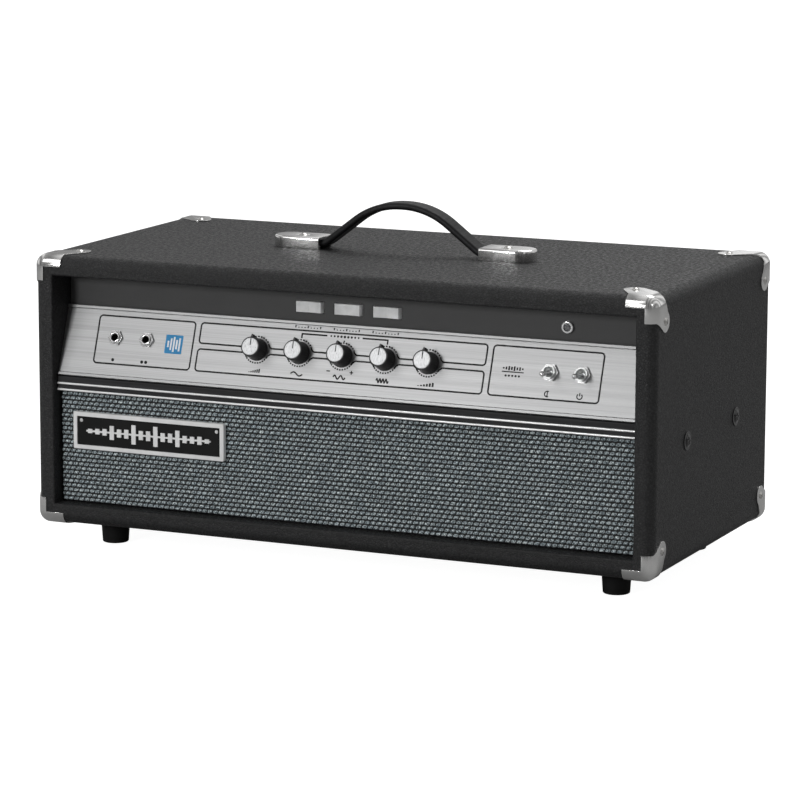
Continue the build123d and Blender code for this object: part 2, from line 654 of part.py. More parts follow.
def rockers():
    """Three rocker switches in the strip above the panel; each tips left and right on a pin."""
    hinge_y = SWITCH_Y + 4.0
    swing_r = 14.4
    pin_r = 1.2
    housings = []
    for name, x in ROCKER_X.items():
        plan = make_face(Polyline((-16, -8), (0, -6.4), (16, -8), (16, 3.4), (-16, 3.4), close=True))
        plan = plan & Circle(swing_r)
        rocker = Pos(x, hinge_y, ROCKER_Z - ROCKER_H / 2) * extrude(plan, ROCKER_H)
        long_edges = [e for e in rocker.edges() if e.center().Y < hinge_y - 6.0]
        rocker = fillet(long_edges, 0.5)
        rocker += rod((x, hinge_y, ROCKER_Z - 6.4), (0, 0, 1), pin_r, 12.8)
        save(f"rocker_{name}", rocker)
        inner_y = SWITCH_Y + SHEET
        housing = block(x - 16.0, x + 16.0, inner_y, inner_y + 16, ROCKER_Z - 8, ROCKER_Z + 8)
        housing -= block(x - 14.7, x + 14.7, inner_y - 1, inner_y + 9, ROCKER_Z - 5.3, ROCKER_Z + 5.3)
        housing -= rod((x, hinge_y, ROCKER_Z - 6.8), (0, 0, 1), pin_r + SHAFT_GAP, 13.6)
        housings.append(housing)
    save("rocker_housings", *housings)


def pilot_lamp():
    """The pilot lamp: a bright ring and a domed jewel."""
    at = (PILOT_X, SWITCH_Y, PILOT_Z)
    bezel = rod(at, (0, -1, 0), 5.6, 2.6) + rod(at, (0, 1, 0), 4.2, 14.0)
    bezel = fillet(bezel.edges().sort_by(Axis.Y)[0], 0.8)
    bezel -= rod((PILOT_X, SWITCH_Y + 12, PILOT_Z), (0, -1, 0), 3.6, 20.0)
    jewel = rod((PILOT_X, SWITCH_Y + 2, PILOT_Z), (0, -1, 0), 3.6, 4.2)
    jewel = fillet(jewel.edges().sort_by(Axis.Y)[0], 1.6)
    save("pilot_bezel", bezel)
    save("pilot_jewel", jewel)


# ------------------------------------------------------------------ inside

def socket_places():
    """Each tube socket's place and the radius of its body."""
    big = [(x, POWER_TUBE_Y, BIG_SOCKET_R) for x in POWER_TUBE_X]
    return big + [(x, SMALL_TUBE_Y, SMALL_SOCKET_R) for x in SMALL_TUBE_X]


def tubes():
    """Four power tubes and five small tubes, hanging from their sockets in the chassis floor."""
    sockets = []
    for x, y, radius in socket_places():
        socket = rod((x, y, 142.0), (0, 0, 1), radius, 11.0)
        socket += rod((x, y, CHASSIS_FLOOR + SHEET), (0, 0, 1), radius + 3.0, 1.6)
        sockets.append(socket)
    down = (0, 0, -1)
    bases = []
    glass = []
    for x in POWER_TUBE_X:
        bases.append(rod((x, POWER_TUBE_Y, 142.0), down, 16.5, 16.0))
        bulb = rod((x, POWER_TUBE_Y, 126.0), down, 18.5, 64.0)
        bulb = fillet(bulb.edges().sort_by(Axis.Z)[0], 12.0)
        glass.append(fillet(bulb.edges().sort_by(Axis.Z)[-1], 4.0))
    small = []
    shields = []
    for x in SMALL_TUBE_X:
        tube = rod((x, SMALL_TUBE_Y, 142.0), down, 10.2, 46.0)
        small.append(fillet(tube.edges().sort_by(Axis.Z)[0], 7.0))
        shield = rod((x, SMALL_TUBE_Y, CHASSIS_FLOOR), down, 12.2, 54.0)
        shield = fillet(shield.edges().sort_by(Axis.Z)[0], 3.0)
        shield -= rod((x, SMALL_TUBE_Y, CHASSIS_FLOOR + 1), down, 11.4, 54.0)
        shields.append(shield - rod((x, SMALL_TUBE_Y, CHASSIS_FLOOR), down, 6.0, 60.0))
    save("tube_sockets", *sockets)
    save("power_tube_bases", *bases)
    save("power_tube_glass", *glass)
    save("preamp_tubes", *small)
    save("tube_shields", *shields)


def transformer(name, x, width, depth, height):
    """A laminated core with a pressed bell over the winding on each side, hung from the floor."""
    y = TRANSFORMER_Y
    top = CHASSIS_FLOOR - 2.0
    core = block(x - width / 2, x + width / 2, y - depth / 4, y + depth / 4, top - height, top)
    pieces = [core]
    for side in (-1, 1):
        y0 = y + side * depth / 4
        y2 = y + side * depth / 2
        bell = block(x - width / 2 + 4, x + width / 2 - 4, y0, y2, top - height + 4, top - 4)
        outer = bell.faces().sort_by(Axis.Y)[0 if side < 0 else -1]
        pieces.append(fillet(outer.edges(), 7.0))
    feet_plate = block(x - width / 2 - 8, x + width / 2 + 8, y - depth / 4, y + depth / 4, top, top + 2.0)
    pieces.append(feet_plate)
    save(name, *pieces)


def inside_the_tray():
    """The circuit board on its posts, and the filter capacitors beside it."""
    floor = CHASSIS_FLOOR + SHEET
    board = block(*BOARD_ENDS, *BOARD_SIDES, BOARD_Z, BOARD_Z + 1.6)
    inset = 6.0
    posts = []
    for x in (BOARD_ENDS[0] + inset, sum(BOARD_ENDS) / 2, BOARD_ENDS[1] - inset):
        for y in (BOARD_SIDES[0] + inset, BOARD_SIDES[1] - inset):
            posts.append(rod((x, y, floor), (0, 0, 1), 3.5, BOARD_Z - floor))
    cans = []
    for x in CAPACITOR_X:
        for y in CAPACITOR_Y:
            can = rod((x, y, floor), (0, 0, 1), 17.5, 52.0)
            cans.append(fillet(can.edges().sort_by(Axis.Z)[-1], 2.0))
    save("main_board", board, *posts)
    save("filter_capacitors", *cans)


# ------------------------------------------------------------------ rear

def rear_guard():
    """The slotted steel guard over the tube bay, its wooden cleats and its screws."""
    guard = block(-284.0, 284.0, GUARD_Y, GUARD_Y + SHEET, 46.0, 143.5)
    guard = fillet(guard.edges().filter_by(Axis.Y), 4.0)
    slot = extrude(SlotOverall(24.0, 4.0, rotation=90), 6.0)
    slots = []
    columns = 36
    for row_z in (68.0, 97.0, 126.0):
        for i in range(columns):
            x = (i - (columns - 1) / 2) * 13.0
            slots.append(Plane(origin=(x, GUARD_Y - 2, row_z), x_dir=(1, 0, 0), z_dir=(0, 1, 0)) * slot)
    guard -= slots
    cleats = []
    screws = []
    for side in (-1, 1):
        cleat = block(side * 271.0, side * BOARD_X, 121.0, GUARD_Y, 46.0, 122.0)
        for z in (58.0, 84.0, 110.0):
            at = (side * 277.0, GUARD_Y + SHEET, z)
            hole = rod(at, (0, -1, 0), 1.85, 16.0)
            guard -= hole
            cleat -= hole
            screws.append(screw(at, (0, 1, 0), 4.0, 2.0, 1.8, 14.0))
        cleats.append(cleat)
    save("rear_guard", guard)
    save("guard_cleats", *cleats)
    save("rear_guard_screws", *screws)


def mains_inlet():
    """A three-pin mains inlet with a recess for its connector."""
    y = CHASSIS_REAR
    body = block(INLET_X - 13.5, INLET_X + 13.5, y - 22, y, REAR_Z - 10.0, REAR_Z + 10.0)
    flange = block(INLET_X - 25.0, INLET_X + 25.0, y, y + 3.0, REAR_Z - 12.5, REAR_Z + 12.5)
    flange = fillet(flange.edges().filter_by(Axis.Y), 4.0)
    body += flange
    body -= block(INLET_X - 12.3, INLET_X + 12.3, y - 15.0, y + 4.0, REAR_Z - 8.0, REAR_Z + 8.0)
    pins = []
    for dx, dz in ((-7.0, -2.0), (7.0, -2.0), (0.0, 2.0)):
        pins.append(Pos(INLET_X + dx, 0, REAR_Z + dz) * block(-1, 1, y - 15, y + 0.5, -2, 2))
    save("mains_inlet", body, *pins)


def di_output():
    """A three-pin balanced output connector."""
    y = CHASSIS_REAR
    flange = block(DI_X - 13.0, DI_X + 13.0, y, y + 2.5, REAR_Z - 15.5, REAR_Z + 15.5)
    flange = fillet(flange.edges().filter_by(Axis.Y), 3.0)
    shell = rod((DI_X, y - 20, REAR_Z), (0, 1, 0), 11.7, 22.5)
    body = flange + shell
    body -= rod((DI_X, y - 15, REAR_Z), (0, 1, 0), 9.6, 30.0)
    for dx, dz in ((-4.0, 2.6), (4.0, 2.6), (0.0, -4.2)):
        body += rod((DI_X + dx, y - 15.5, REAR_Z + dz), (0, 1, 0), 1.2, 14.0)
    save("di_connector", body)


os.makedirs("parts", exist_ok=True)
holes_for_fasteners = shank_holes()
cabinet(holes_for_fasteners)
corner_guards()
feet()
handle()
front_rail()
grille()
nameplate()
faceplate()
chassis()
for knob_name, knob_x in KNOB_X.items():
    knob(knob_name, knob_x)
save("panel_nuts", *potentiometers(), *jacks(), *toggles())
rockers()
pilot_lamp()
tubes()
transformer("power_transformer", 194.0, 110.0, 90.0, 84.0)
transformer("output_transformer", -205.0, 92.0, 78.0, 74.0)
inside_the_tray()
rear_guard()
mains_inlet()
di_output()
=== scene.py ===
import json
import math
import bmesh
import bpy
import numpy as np
from mathutils import Matrix, Vector


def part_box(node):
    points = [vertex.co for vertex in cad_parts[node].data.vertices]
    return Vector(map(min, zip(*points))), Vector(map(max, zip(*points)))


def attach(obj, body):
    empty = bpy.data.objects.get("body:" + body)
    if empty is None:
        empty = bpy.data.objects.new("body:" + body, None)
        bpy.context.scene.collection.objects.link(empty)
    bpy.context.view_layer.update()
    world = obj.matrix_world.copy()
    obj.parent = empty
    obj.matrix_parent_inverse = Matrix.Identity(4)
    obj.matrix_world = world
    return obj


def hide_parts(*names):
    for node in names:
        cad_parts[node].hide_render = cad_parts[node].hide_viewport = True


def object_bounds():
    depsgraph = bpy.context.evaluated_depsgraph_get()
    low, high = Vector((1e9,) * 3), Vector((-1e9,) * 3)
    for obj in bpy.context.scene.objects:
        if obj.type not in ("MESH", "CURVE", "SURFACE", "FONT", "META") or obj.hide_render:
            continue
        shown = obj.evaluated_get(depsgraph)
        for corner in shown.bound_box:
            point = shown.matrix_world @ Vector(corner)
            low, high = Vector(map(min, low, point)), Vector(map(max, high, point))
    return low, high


# A tube guitar amplifier head. Metres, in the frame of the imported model: +Z up, the front faces -Y.
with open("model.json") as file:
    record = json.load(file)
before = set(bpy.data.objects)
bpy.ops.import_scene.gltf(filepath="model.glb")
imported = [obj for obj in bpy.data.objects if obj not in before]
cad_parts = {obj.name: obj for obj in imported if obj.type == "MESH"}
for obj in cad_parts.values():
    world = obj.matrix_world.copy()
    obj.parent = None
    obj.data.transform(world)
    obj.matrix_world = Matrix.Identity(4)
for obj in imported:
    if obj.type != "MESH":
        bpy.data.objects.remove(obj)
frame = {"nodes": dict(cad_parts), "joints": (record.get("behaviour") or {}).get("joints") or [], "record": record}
cad_low, cad_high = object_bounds()

MM = 0.001
NODES = frame["nodes"]
JOINTS = {joint["name"]: joint for joint in frame["joints"]}
MOUNTS = {mount["name"]: mount for mount in frame["record"]["mounts"]}

# The control panel, from the knobs' axes: it leans back, and u runs along it, v up its slope, w out of it
KNOBS = ["gain", "bass", "midrange", "treble", "master"]
PANEL_OUT = -Vector(JOINTS["gain_turn"]["axis"])
PANEL_UP = Vector((0, PANEL_OUT.z, -PANEL_OUT.y))
KNOB_X = [JOINTS[name + "_turn"]["pos_m"][0] for name in KNOBS]
JACK_X = sorted(MOUNTS[name]["pos_m"][0] for name in ("input_jack_low", "input_jack_high"))
TOGGLE_X = sorted(JOINTS[name]["pos_m"][0] for name in ("standby_switch", "power_switch"))
ROCKER_X = [JOINTS[f"rocker_{side}_tip"]["pos_m"][0] for side in ("left", "middle", "right")]
INK = 0.07 * MM     # how far the printing stands off the panel


def panel_face():
    """The point of the panel's face at u = 0 on the line through the knobs' axes."""
    axis_point = Vector(JOINTS["gain_turn"]["pos_m"])
    axis_point.x = 0
    proud = max((v.co - axis_point).dot(PANEL_OUT) for v in NODES["faceplate"].data.vertices)
    lip = 1.2 * MM
    return axis_point + PANEL_OUT * (proud - lip)


PANEL_POINT = panel_face()


def on_panel(u, v, w=0.0):
    """A place on the panel, v measured from the line through the knobs."""
    return PANEL_POINT + Vector((u, 0, 0)) + PANEL_UP * v + PANEL_OUT * w


# ------------------------------------------------------------------ node materials

def add(tree, kind, inputs=None, **settings):
    """A shader node with its options set and its sockets filled with values or links."""
    node = tree.nodes.new("ShaderNode" + kind)
    for name, value in settings.items():
        setattr(node, name, value)
    for name, value in (inputs or {}).items():
        socket = node.inputs[name]
        if isinstance(value, bpy.types.NodeSocket):
            tree.links.new(value, socket)
        else:
            socket.default_value = value
    return node


def rgba(colour):
    return (*colour, 1.0)


class Finish:
    """One procedural material under construction, round a Principled shader."""

    def __init__(self, name, roughness=0.5, metallic=0.0, **constants):
        self.material = bpy.data.materials.new(name)
        self.material.use_nodes = True
        self.tree = self.material.node_tree
        self.shader = self.tree.nodes["Principled BSDF"]
        self.shader.inputs["Roughness"].default_value = roughness
        self.shader.inputs["Metallic"].default_value = metallic
        for socket, value in constants.items():
            self.shader.inputs[socket.replace("_", " ")].default_value = value
        self.place = self.add("TexCoord").outputs["Object"]
        self.normal = None

    def add(self, kind, inputs=None, **settings):
        return add(self.tree, kind, inputs, **settings)

    def stretched(self, x=1.0, y=1.0, z=1.0, turn=(0, 0, 0)):
        """Texture places stretched along the axes, for grain and brushing."""
        mapping = {"Vector": self.place, "Scale": (x, y, z), "Rotation": turn}
        return self.add("Mapping", mapping).outputs["Vector"]

    def noise(self, scale, detail=4.0, rough=0.55, where=None):
        inputs = {"Vector": where or self.place, "Scale": scale, "Detail": detail, "Roughness": rough}
        return self.add("TexNoise", inputs).outputs["Fac"]

    def cells(self, scale, feature):
        inputs = {"Vector": self.place, "Scale": scale}
        return self.add("TexVoronoi", inputs, feature=feature).outputs["Distance"]

    def ramp(self, factor, stops):
        """Greys or colours along a factor, from (place, colour) stops."""
        node = self.add("ValToRGB", {"Fac": factor})
        elements = node.color_ramp.elements
        while len(elements) < len(stops):
            elements.new(0.5)
        for element, (position, colour) in zip(elements, stops):
            element.position = position
            element.color = rgba(colour if hasattr(colour, "__len__") else (colour,) * 3)
        return node.outputs["Color"]

    def maths(self, operation, a, b=0.0, c=0.0):
        node = self.add("Math", operation=operation)
        for socket, value in zip(node.inputs, (a, b, c)):
            if isinstance(value, bpy.types.NodeSocket):
                self.tree.links.new(value, socket)
            else:
                socket.default_value = value
        return node.outputs["Value"]

    def mix(self, factor, a, b):
        """Colour a where the factor is 0, b where it is 1."""
        node = self.add("Mix", data_type="RGBA")
        for index, value in ((0, factor), (6, a), (7, b)):
            socket = node.inputs[index]
            if isinstance(value, bpy.types.NodeSocket):
                self.tree.links.new(value, socket)
            else:
                socket.default_value = rgba(value)
        return node.outputs[2]

    def colour(self, value):
        self.tree.links.new(value, self.shader.inputs["Base Color"])

    def roughness(self, value):
        self.tree.links.new(value, self.shader.inputs["Roughness"])

    def soft_edges(self, radius):
        """Rounds the way light falls on sharp edges."""
        self.normal = self.add("Bevel", {"Radius": radius}, samples=4).outputs["Normal"]

    def bump(self, height, distance, strength):
        inputs = {"Height": height, "Distance": distance, "Strength": strength}
        if self.normal is not None:
            inputs["Normal"] = self.normal
        self.normal = self.add("Bump", inputs).outputs["Normal"]

    def done(self):
        if self.normal is not None:
            self.tree.links.new(self.normal, self.shader.inputs["Normal"])
        return self.material


def vinyl():
    """Black covering with an embossed pebble grain; its creases are painted darker as painted shade, so the crests
    read a little greyer.
    """
    f = Finish("black_vinyl", roughness=0.5, Specular_IOR_Level=0.4)
    pebble = f.cells(560.0, "SMOOTH_F1")
    creases = f.cells(430.0, "DISTANCE_TO_EDGE")
    fine = f.noise(1500.0, 3.0)
    # A mask of the grain's creases, used for the painted shade in them and for their relief
    crease_shade_and_relief = f.ramp(creases, [(0.0, 0.0), (0.2, 1.0)])
    broad = f.noise(9.0, 3.0)
    speckle = f.noise(430.0, 3.0, 0.65)
    tint = f.ramp(speckle, [(0.38, (0.014, 0.014, 0.0144)), (0.64, (0.024, 0.0242, 0.0248))])
    worn = f.mix(f.ramp(broad, [(0.35, 0.0), (0.75, 0.35)]), tint, (0.027, 0.027, 0.0275))
    # Painted shade: the grain's creases take a near-black colour
    f.colour(f.mix(crease_shade_and_relief, (0.006, 0.006, 0.0065), worn))
    height = f.maths("MULTIPLY_ADD", pebble, -0.8, f.maths("MULTIPLY_ADD", crease_shade_and_relief, 0.6, fine))
    facing_up = f.add("SeparateXYZ", {"Vector": f.add("NewGeometry").outputs["Normal"]}).outputs["Z"]
    coarse = f.noise(300.0, 3.0, 0.65)
    gloss = f.add("Mix", data_type="FLOAT")
    for socket, source in ((0, f.ramp(facing_up, [(0.6, 0.0), (0.95, 1.0)])),
                           (2, f.ramp(speckle, [(0.38, 0.6), (0.64, 0.44)])),
                           (3, f.ramp(coarse, [(0.4, 0.74), (0.62, 0.4)]))):
        f.tree.links.new(source, gloss.inputs[socket])
    f.roughness(gloss.outputs[0])
    f.bump(height, 0.36 * MM, 1.0)
    return f.done()


def brushed_panel():
    """Aluminium brushed along the panel, with a faint satin variation."""
    f = Finish("brushed_panel", roughness=0.34, metallic=1.0)
    strokes = f.noise(900.0, 5.0, 0.7, f.stretched(0.006, 1.0, 1.0))
    long_strokes = f.noise(160.0, 2.0, 0.5, f.stretched(0.01, 1.0, 1.0))
    both = f.maths("MULTIPLY_ADD", long_strokes, 0.3, f.maths("MULTIPLY", strokes, 0.7))
    f.colour(f.ramp(both, [(0.3, (0.225, 0.2265, 0.228)), (0.7, (0.375, 0.3765, 0.378))]))
    f.roughness(f.ramp(strokes, [(0.3, 0.36), (0.7, 0.5)]))
    f.bump(strokes, 0.02 * MM, 0.6)
    return f.done()


def polished(name, tint, roughness, scratch_scale=500.0, edge=0.15, scratch=0.006, metallic=1.0):
    """Plated metal with hairline scratches and a cloudy film."""
    f = Finish(name, roughness=roughness, metallic=metallic)
    cloud = f.noise(40.0, 4.0, 0.6)
    hair = f.noise(scratch_scale, 6.0, 0.75, f.stretched(1.0, 0.15, 0.4, (0.4, 0.9, 0.2)))
    dark = tuple(c * 0.86 for c in tint)
    f.colour(f.ramp(cloud, [(0.35, dark), (0.65, tint)]))
    film = f.maths("MULTIPLY_ADD", hair, 16.0 * scratch, f.maths("MULTIPLY", cloud, 0.1))
    f.roughness(f.maths("ADD", film, roughness - 0.1))
    f.soft_edges(edge * MM)
    f.bump(hair, scratch * MM, 0.4)
    return f.done()


def moulded(name, tint, roughness, grain=0.02, scale=1500.0, edge=0.25, specular=0.5):
    """Moulded plastic or rubber: fine texture, slightly uneven colour and rubbed edges."""
    f = Finish(name, roughness=roughness, Specular_IOR_Level=specular)
    fine = f.noise(scale, 4.0, 0.6)
    broad = f.noise(60.0, 3.0)
    light = tuple(min(1.0, c * 1.18 + 0.002) for c in tint)
    dark = tuple(c * 0.86 for c in tint)
    f.colour(f.ramp(broad, [(0.35, dark), (0.7, light)]))
    f.roughness(f.maths("MULTIPLY_ADD", fine, 0.16, roughness - 0.08))
    f.soft_edges(edge * MM)
    f.bump(fine, grain * MM, 0.7)
    return f.done()


def painted(name, tint, roughness, scale, texture):
    """Sprayed paint with orange peel."""
    f = Finish(name, roughness=roughness)
    peel = f.noise(scale, 2.0, 0.5)
    broad = f.noise(25.0, 3.0)
    f.colour(f.ramp(broad, [(0.3, tuple(c * 0.85 for c in tint)), (0.7, tint)]))
    f.roughness(f.maths("MULTIPLY_ADD", peel, 0.2, roughness - 0.1))
    f.soft_edges(0.3 * MM)
    f.bump(peel, texture * MM, 0.8)
    return f.done()


def zinc(name, light, dark, roughness):
    """Zinc plate: crystals of slightly different grey."""
    f = Finish(name, roughness=roughness, metallic=1.0)
    spangle = f.add("TexVoronoi", {"Vector": f.place, "Scale": 130.0}).outputs["Color"]
    grey = f.add("SeparateColor", {"Color": spangle}).outputs["Red"]
    fine = f.noise(900.0, 4.0)
    f.colour(f.ramp(grey, [(0.0, dark), (1.0, light)]))
    f.roughness(f.maths("MULTIPLY_ADD", fine, 0.2, f.maths("MULTIPLY_ADD", grey, 0.12, roughness - 0.16)))
    f.soft_edges(0.2 * MM)
    f.bump(fine, 0.02 * MM, 0.5)
    return f.done()


def plywood():
    """Birch ply: long grain with darker glue lines."""
    f = Finish("plywood", roughness=0.6)
    grain = f.noise(90.0, 6.0, 0.65, f.stretched(0.08, 1.0, 1.0))
    lines = f.add("TexWave", {"Vector": f.place, "Scale": 110.0, "Distortion": 0.4, "Detail": 2.0},
                  bands_direction="DIAGONAL").outputs["Fac"]
    wood = f.ramp(grain, [(0.3, (0.42, 0.27, 0.14)), (0.7, (0.62, 0.44, 0.26))])
    f.colour(f.mix(f.maths("MULTIPLY", lines, 0.35), wood, (0.16, 0.09, 0.045)))
    f.bump(grain, 0.1 * MM, 0.6)
    return f.done()


def black_timber():
    """Timber under thin matt black paint, its grain still raised."""
    f = Finish("black_timber", roughness=0.62, Specular_IOR_Level=0.35)
    grain = f.noise(260.0, 5.0, 0.7, f.stretched(0.05, 1.0, 1.0))
    f.colour(f.ramp(grain, [(0.35, (0.008, 0.008, 0.009)), (0.7, (0.024, 0.024, 0.026))]))
    f.soft_edges(0.3 * MM)
    f.bump(grain, 0.12 * MM, 0.6)
    return f.done()


def strap():
    """Leather-look strap with fine creases across it."""
    f = Finish("strap_vinyl", roughness=0.5, Specular_IOR_Level=0.25)
    pebble = f.cells(1300.0, "DISTANCE_TO_EDGE")
    creases = f.noise(420.0, 4.0, 0.7, f.stretched(1.0, 0.12, 1.0))
    broad = f.noise(30.0, 3.0)
    f.colour(f.ramp(broad, [(0.3, (0.005, 0.005, 0.0055)), (0.75, (0.01, 0.01, 0.011))]))
    f.roughness(f.ramp(creases, [(0.35, 0.44), (0.7, 0.6)]))
    height = f.maths("MULTIPLY_ADD", pebble, 0.5, f.maths("MULTIPLY", creases, 0.6))
    f.bump(height, 0.12 * MM, 0.6)
    return f.done()


def woven(front_y):
    """Dark blue-grey yarn with flecked threads; the gaps between the bundles are painted near black as painted
    shade, so only the crests show the yarn.
    """
    f = Finish("grille_cloth", roughness=0.62, Specular_IOR_Level=0.4, Sheen_Weight=0.15)
    depth = f.add("SeparateXYZ", {"Vector": f.place}).outputs["Y"]
    # Painted shade by depth: 1 on the crests, 0 deep in the gaps between the bundles
    gap_shade_mask = f.add("MapRange", {
        "Value": depth, "From Min": front_y + 1.0 * MM, "From Max": front_y + 0.2 * MM,
    }).outputs["Result"]
    threads = f.noise(900.0, 3.0, 0.6, f.stretched(1.9, 1.0, 0.5))
    fleck = f.noise(820.0, 3.0, 0.65)
    broad = f.noise(120.0, 2.0)
    yarn = f.ramp(fleck, [
        (0.36, (0.06, 0.076, 0.085)), (0.49, (0.2, 0.238, 0.25)), (0.56, (0.66, 0.71, 0.72)),
        (0.63, (0.96, 1.0, 1.0)),
    ])
    shade = f.mix(f.ramp(broad, [(0.35, 0.0), (0.7, 1.0)]), (0.74, 0.8, 0.84), (0.97, 1.0, 1.0))
    product = f.add("Mix", data_type="RGBA", blend_type="MULTIPLY")
    product.inputs[0].default_value = 1.0
    f.tree.links.new(yarn, product.inputs[6])
    f.tree.links.new(shade, product.inputs[7])
    # Painted shade: the gaps between the bundles take a near-black colour
    f.colour(f.mix(f.ramp(gap_shade_mask, [(0.1, 0.0), (0.75, 1.0)]), (0.0008, 0.001, 0.0012), product.outputs[2]))
    f.bump(threads, 0.25 * MM, 0.9)
    return f.done()


def ink(name, tint):
    """Screen-printed ink: matt, slightly thin in places."""
    f = Finish(name, roughness=0.6, Specular_IOR_Level=0.2)
    thin = f.noise(1400.0, 3.0)
    f.colour(f.ramp(thin, [(0.3, tint), (0.75, tuple(min(1.0, c * 1.2 + 0.003) for c in tint))]))
    f.bump(thin, 0.01 * MM, 0.4)
    return f.done()


def turned_cap():
    """A cap of aluminium turned on a lathe: fine hairline streaks in the texture, laid the same way on every knob.
    """
    f = Finish("knob_cap", roughness=0.3, metallic=0.6)
    hair = f.noise(1300.0, 3.0, 0.6, f.stretched(1.0, 0.25, 0.25))
    f.colour(f.ramp(hair, [(0.3, (0.36, 0.364, 0.368)), (0.7, (0.55, 0.555, 0.56))]))
    f.roughness(f.ramp(hair, [(0.3, 0.26), (0.7, 0.42)]))
    f.soft_edges(0.15 * MM)
    f.bump(hair, 0.015 * MM, 0.5)
    return f.done()


def glass():
    """Thin clear bulb glass."""
    f = Finish("tube_glass", roughness=0.04, Transmission_Weight=0.9, IOR=1.45)
    smoke = f.noise(50.0, 3.0)
    f.colour(f.ramp(smoke, [(0.3, (0.7, 0.72, 0.72)), (0.7, (0.86, 0.88, 0.88))]))
    f.bump(smoke, 0.05 * MM, 0.3)
    return f.done()


def jewel():
    """Smoke-grey faceted lamp lens."""
    f = Finish("jewel", roughness=0.12, Transmission_Weight=0.25, IOR=1.5, Coat_Weight=0.5)
    facets = f.cells(420.0, "F1")
    f.colour(f.ramp(facets, [(0.1, (0.3, 0.3, 0.31)), (0.8, (0.07, 0.07, 0.075))]))
    f.bump(facets, 0.35 * MM, 0.8)
    return f.done()


def laminations():
    """Varnished stacked steel with painted bells."""
    f = Finish("transformer", roughness=0.45, metallic=0.3)
    stack = f.add("TexWave", {"Vector": f.place, "Scale": 420.0}, bands_direction="Y").outputs["Fac"]
    peel = f.noise(600.0, 3.0)
    f.colour(f.ramp(peel, [(0.3, (0.012, 0.012, 0.013)), (0.7, (0.03, 0.03, 0.031))]))
    f.soft_edges(0.4 * MM)
    f.bump(f.maths("MULTIPLY_ADD", stack, 0.4, peel), 0.06 * MM, 0.6)
    return f.done()


def circuit_board():
    """Green solder mask over etched tracks."""
    f = Finish("circuit_board", roughness=0.3, Coat_Weight=0.3)
    tracks = f.add("TexBrick", {"Vector": f.place, "Scale": 60.0, "Mortar Size": 0.03}).outputs["Fac"]
    flake = f.noise(300.0, 3.0)
    board = f.ramp(flake, [(0.3, (0.008, 0.07, 0.028)), (0.7, (0.016, 0.11, 0.045))])
    f.colour(f.mix(tracks, board, (0.05, 0.2, 0.08)))
    f.bump(tracks, 0.05 * MM, 0.5)
    return f.done()


def floor_finish():
    """Plain pale studio paper, lit from within enough to read as white."""
    f = Finish("studio_paper", roughness=0.9, Specular_IOR_Level=0.05, Emission_Color=(1, 1, 1, 1))
    fibre = f.noise(3.0, 3.0)
    f.colour(f.ramp(fibre, [(0.3, 0.38), (0.7, 0.4)]))
    seen = f.add("LightPath").outputs["Is Camera Ray"]
    glow = f.add("MapRange", {"Value": seen, "To Min": 0.0, "To Max": 0.96}).outputs["Result"]
    f.tree.links.new(glow, f.shader.inputs["Emission Strength"])
    return f.done()


CLOTH_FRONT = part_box("grille_cloth")[0].y
NICKEL = (0.84, 0.835, 0.825)

MATERIALS = {
    "black_vinyl": vinyl(),
    "plywood": plywood(),
    "black_timber": black_timber(),
    "bright_trim": polished("bright_trim", (0.95, 0.95, 0.95), 0.28, 300.0, 0.15, 0.0003, 0.2),
    "nickel_corner": polished("nickel_corner", NICKEL, 0.2, 260.0, 0.3, 0.002),
    "screw_steel": polished("screw_steel", (0.62, 0.61, 0.59), 0.28, 800.0),
    "black_screw": polished("black_screw", (0.022, 0.022, 0.023), 0.14, 500.0, 0.5, 0.002, 0.5),
    "chrome_fittings": polished("chrome_fittings", (0.94, 0.94, 0.945), 0.17, 400.0, 0.35, 0.001, 0.8),
    "rubber": moulded("rubber", (0.006, 0.006, 0.006), 0.7, 0.05, 900.0, 0.25, 0.25),
    "strap_vinyl": strap(),
    "brushed_panel": brushed_panel(),
    "chassis_steel": painted("chassis_steel", (0.036, 0.036, 0.0365), 0.42, 900.0, 0.03),
    "zinc_steel": zinc("zinc_steel", (0.62, 0.63, 0.62), (0.46, 0.47, 0.47), 0.42),
    "grille_cloth": woven(CLOTH_FRONT),
    "plate_black": moulded("plate_black", (0.003, 0.003, 0.0032), 0.5, 0.005, 900.0, 0.25, 0.2),
    "knob_black": moulded("knob_black", (0.016, 0.016, 0.017), 0.36, 0.01, 1800.0, 0.2),
    "knob_cap": turned_cap(),
    "rocker_grey": moulded("rocker_grey", (0.84, 0.845, 0.85), 0.3, 0.01, 1500.0, 0.3),
    "black_plastic": moulded("black_plastic", (0.015, 0.015, 0.016), 0.4),
    "jewel": jewel(),
    "tube_glass": glass(),
    "phenolic": moulded("phenolic", (0.024, 0.014, 0.01), 0.32),
    "shield_tin": polished("shield_tin", (0.7, 0.71, 0.7), 0.36, 300.0),
    "transformer": laminations(),
    "circuit_board": circuit_board(),
    "capacitor": moulded("capacitor", (0.02, 0.035, 0.11), 0.3, 0.01),
}
BLACK_INK = ink("black_ink", (0.004, 0.004, 0.004))
BLUE_INK = ink("blue_ink", (0.045, 0.25, 0.5))
WHITE_INK = ink("white_ink", (0.8, 0.81, 0.82))


def finish_cad_nodes():
    """Every CAD node takes the material of its slot."""
    for node in NODES.values():
        slot = node.data.materials[0].name.split(".")[0]
        node.data.materials.clear()
        node.data.materials.append(MATERIALS[slot])


# ------------------------------------------------------------------ mesh helpers

def add_piece(name, mesh, body, material, smooth=None):
    piece = bpy.data.objects.new(name, mesh)
    bpy.context.scene.collection.objects.link(piece)
    mesh.materials.clear()
    mesh.materials.append(material)
    if smooth is not None:
        shade_smooth(mesh, smooth)
    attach(piece, body)
    return piece


def shade_smooth(mesh, angle):
    mesh.shade_smooth()
    mesh.set_sharp_from_angle(angle=math.radians(angle))


# ------------------------------------------------------------------ grille cloth

